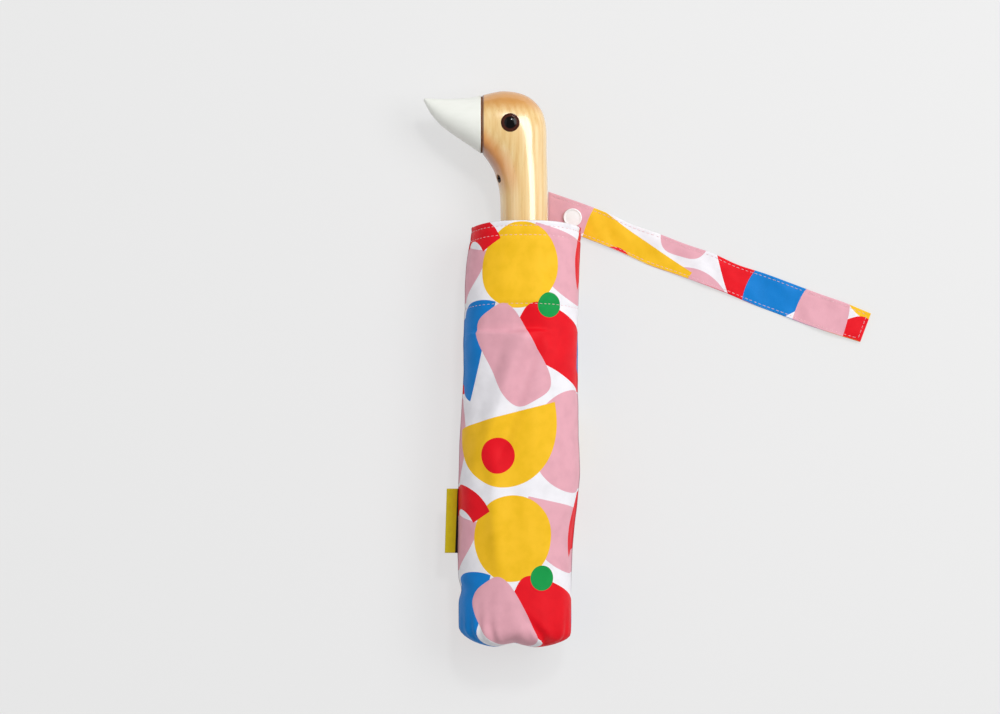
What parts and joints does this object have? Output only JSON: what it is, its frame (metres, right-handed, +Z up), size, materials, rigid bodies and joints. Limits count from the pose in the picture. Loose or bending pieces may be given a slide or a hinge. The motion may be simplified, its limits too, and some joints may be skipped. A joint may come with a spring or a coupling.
{
  "type": "folding umbrella",
  "caption": "Compact folding umbrella in a printed fabric sleeve, with a carved wooden bird-head handle, a telescoping shaft and a carrying strap that lies beside it.",
  "frame": {"origin": "on the flat underside of the sleeve, below the shaft's axis, half way along the sleeve", "axes": "+Y along the shaft towards the handle, +Z up from the table, -X the way the beak points"},
  "size_m": [0.2519, 0.3116, 0.05],
  "materials": {
    "sleeve_cloth": "printed polyester, soft",
    "tab_cloth": "woven tape",
    "strap_cloth": "printed polyester, doubled and stitched",
    "snap_plastic": "glossy",
    "snap_metal": "plated",
    "handle_wood": "lacquered, satin gloss",
    "beak_paint": "painted, satin",
    "groove_wood": "burnt dark",
    "dowel_wood": "bare",
    "eye_glass": "glossy",
    "black_plastic": "matt",
    "plug_plastic": "matt",
    "screw_steel": "blackened",
    "tube_steel": "plated",
    "wire_steel": "plated",
    "rib_steel": "plated",
    "canopy_cloth": "printed polyester, pleated"
  },
  "bodies": {
    "umbrella_frame": {"outer_tube": "tube_steel", "crown": "black_plastic", "crown_tie_wire": "wire_steel", "ferrule_cap": "black_plastic", "runner": "black_plastic", "runner_tie_wire": "wire_steel", "rib_rivets": "wire_steel", "rib_tip_cups": "black_plastic", "canopy": "canopy_cloth", "canopy_tie_band": "canopy_cloth", "main_rib_1": "rib_steel", "main_rib_2": "rib_steel", "main_rib_3": "rib_steel", "main_rib_4": "rib_steel", "main_rib_5": "rib_steel", "main_rib_6": "rib_steel", "main_rib_7": "rib_steel", "main_rib_8": "rib_steel", "stretcher_1": "rib_steel", "stretcher_2": "rib_steel", "stretcher_3": "rib_steel", "stretcher_4": "rib_steel", "stretcher_5": "rib_steel", "stretcher_6": "rib_steel", "stretcher_7": "rib_steel", "stretcher_8": "rib_steel", "second_and_tip_rib_1": "rib_steel", "second_and_tip_rib_2": "rib_steel", "second_and_tip_rib_3": "rib_steel", "second_and_tip_rib_4": "rib_steel", "second_and_tip_rib_5": "rib_steel", "second_and_tip_rib_6": "rib_steel", "second_and_tip_rib_7": "rib_steel", "second_and_tip_rib_8": "rib_steel"},
    "catch": {"runner_catch": "wire_steel"},
    "handle": {"wooden_handle": "handle_wood", "beak": "beak_paint", "beak_groove_ring": "groove_wood", "beak_dowel": "dowel_wood", "left_eye": "eye_glass", "right_eye": "eye_glass", "handle_liner": "black_plastic", "shaft_plug": "plug_plastic", "handle_screw": "screw_steel", "inner_tube": "tube_steel"},
    "middle_tube": {"middle_tube": "tube_steel"},
    "sleeve": {"sleeve": "sleeve_cloth", "sleeve_tab": "tab_cloth", "strap_root": "strap_cloth", "snap_cap": "snap_plastic", "snap_socket": "snap_metal"},
    "strap_middle": {"strap_middle": "strap_cloth"},
    "strap_tail": {"strap_tail": "strap_cloth", "snap_stud": "snap_metal"}
  },
  "joints": [
    {"name": "sleeve_slide", "type": "slide", "parent": "umbrella_frame", "child": "sleeve", "axis": [0, -1, 0], "range_m": [0, 0.25]},
    {"name": "handle_pull", "type": "slide", "parent": "umbrella_frame", "child": "handle", "axis": [0, 1, 0], "range_m": [0, 0.25]},
    {"name": "middle_tube_slide", "type": "slide", "parent": "umbrella_frame", "child": "middle_tube", "axis": [0, 1, 0], "range_m": [0, 0.125]},
    {"name": "strap_lift", "type": "hinge", "parent": "sleeve", "child": "strap_middle", "pos_m": [0.04173, 0.11725, 0.0027], "axis": [-0.3535, -0.9354, 0], "range_deg": [0, 60]},
    {"name": "strap_fold", "type": "hinge", "parent": "strap_middle", "child": "strap_tail", "pos_m": [0.10393, 0.09374, 0.0027], "axis": [-0.3535, -0.9354, 0], "range_deg": [0, 110]},
    {"name": "catch_press", "type": "slide", "parent": "umbrella_frame", "child": "catch", "axis": [-1, 0, 0], "range_m": [0, 0.0011], "stiffness_N_per_m": 500}
  ],
  "couplings": [
    {"joint": "middle_tube_slide", "follows": "handle_pull", "ratio": 0.5}
  ]
}
